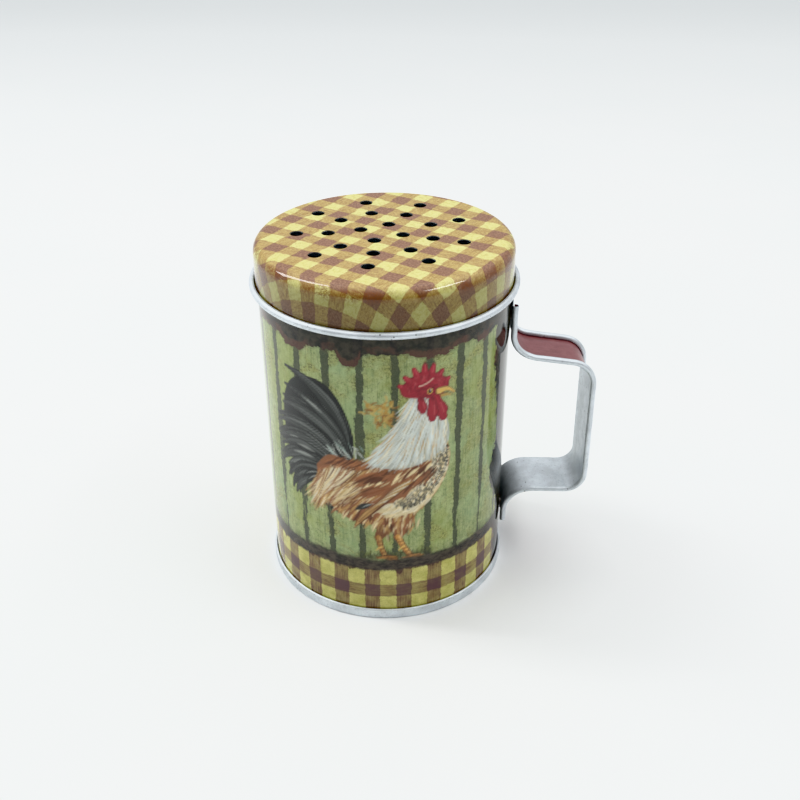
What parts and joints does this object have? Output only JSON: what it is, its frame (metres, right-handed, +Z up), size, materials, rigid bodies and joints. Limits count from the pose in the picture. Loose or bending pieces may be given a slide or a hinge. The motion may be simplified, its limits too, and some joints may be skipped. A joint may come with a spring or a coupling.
{
  "type": "shaker tin",
  "caption": "Round tinplate shaker with a push-on perforated lid, a double-seamed base and a rolled-edge strip handle at the side.",
  "frame": {"origin": "centre of the object's bounding box on the plane it stands on; the can's axis stands at x = -0.0122 because the handle reaches out on one side", "axes": "+Z up along the can's axis, +X from the can towards the handle, +Y across the handle's strip"},
  "size_m": [0.1019, 0.0774, 0.1095],
  "materials": {
    "printed_tin": "glossy printed tinplate: painted green boards, gingham band and a farm bird under varnish",
    "gingham_tin": "glossy printed tinplate: brown and yellow-green gingham under varnish",
    "handle_tin": "red-brown lacquer outside, bare satin tinplate inside and on the rolled edges",
    "bare_tinplate": "satin bare tinplate",
    "weld_steel": "dull heat-darkened steel"
  },
  "bodies": {
    "tin": {"body_shell": "printed_tin", "base_plate": "bare_tinplate", "handle": "handle_tin", "spot_weld_upper_front": "weld_steel", "spot_weld_upper_back": "weld_steel", "spot_weld_lower_front": "weld_steel", "spot_weld_lower_back": "weld_steel"},
    "lid": {"shaker_lid": "gingham_tin"}
  },
  "joints": [
    {"name": "lid_lift", "type": "slide", "parent": "tin", "child": "lid", "axis": [0, 0, 1], "range_m": [0, 0.04]}
  ]
}
